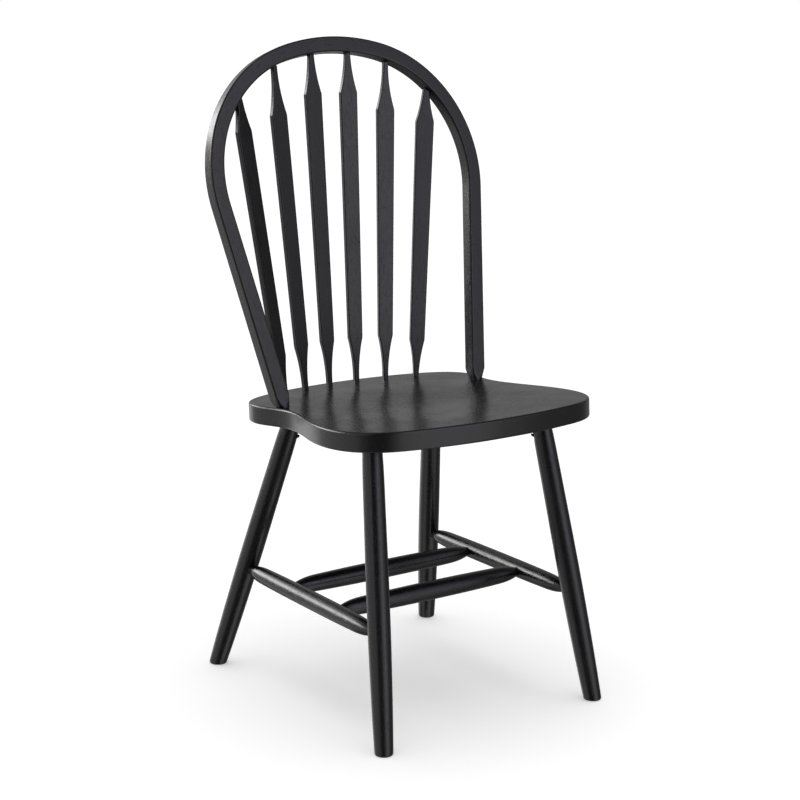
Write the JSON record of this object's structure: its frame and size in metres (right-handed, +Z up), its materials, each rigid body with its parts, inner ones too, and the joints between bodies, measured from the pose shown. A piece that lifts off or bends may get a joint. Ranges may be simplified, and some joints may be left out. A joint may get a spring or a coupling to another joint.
{
  "type": "windsor chair",
  "caption": "Windsor side chair: dished wooden seat, bent bow back with flat arrow-shaped spindles, splayed turned legs and stretchers, painted satin black.",
  "frame": {"origin": "on the floor, under the middle of the chair's overall box", "axes": "+Z up; the front of the seat faces -Y; +X is the viewer's right when the chair is seen from the front"},
  "size_m": [0.4762, 0.4814, 0.9633],
  "materials": {
    "painted_seat": "satin black paint over a solid wood plank",
    "painted_bow": "satin black paint over a bent wood stick",
    "painted_spindles": "satin black paint over flat wood slats",
    "painted_legs": "satin black paint over turned wood",
    "painted_stretchers": "satin black paint over turned wood",
    "black_steel": "black oxide with a low sheen"
  },
  "bodies": {
    "root": {"seat": "painted_seat", "bow": "painted_bow", "spindle_1": "painted_spindles", "spindle_2": "painted_spindles", "spindle_3": "painted_spindles", "spindle_4": "painted_spindles", "spindle_5": "painted_spindles", "spindle_6": "painted_spindles", "leg_front_left": "painted_legs", "leg_front_right": "painted_legs", "leg_rear_left": "painted_legs", "leg_rear_right": "painted_legs", "side_stretcher_left": "painted_stretchers", "side_stretcher_right": "painted_stretchers", "cross_stretcher_front": "painted_stretchers", "cross_stretcher_rear": "painted_stretchers", "leg_screws": "black_steel"}
  },
  "joints": []
}
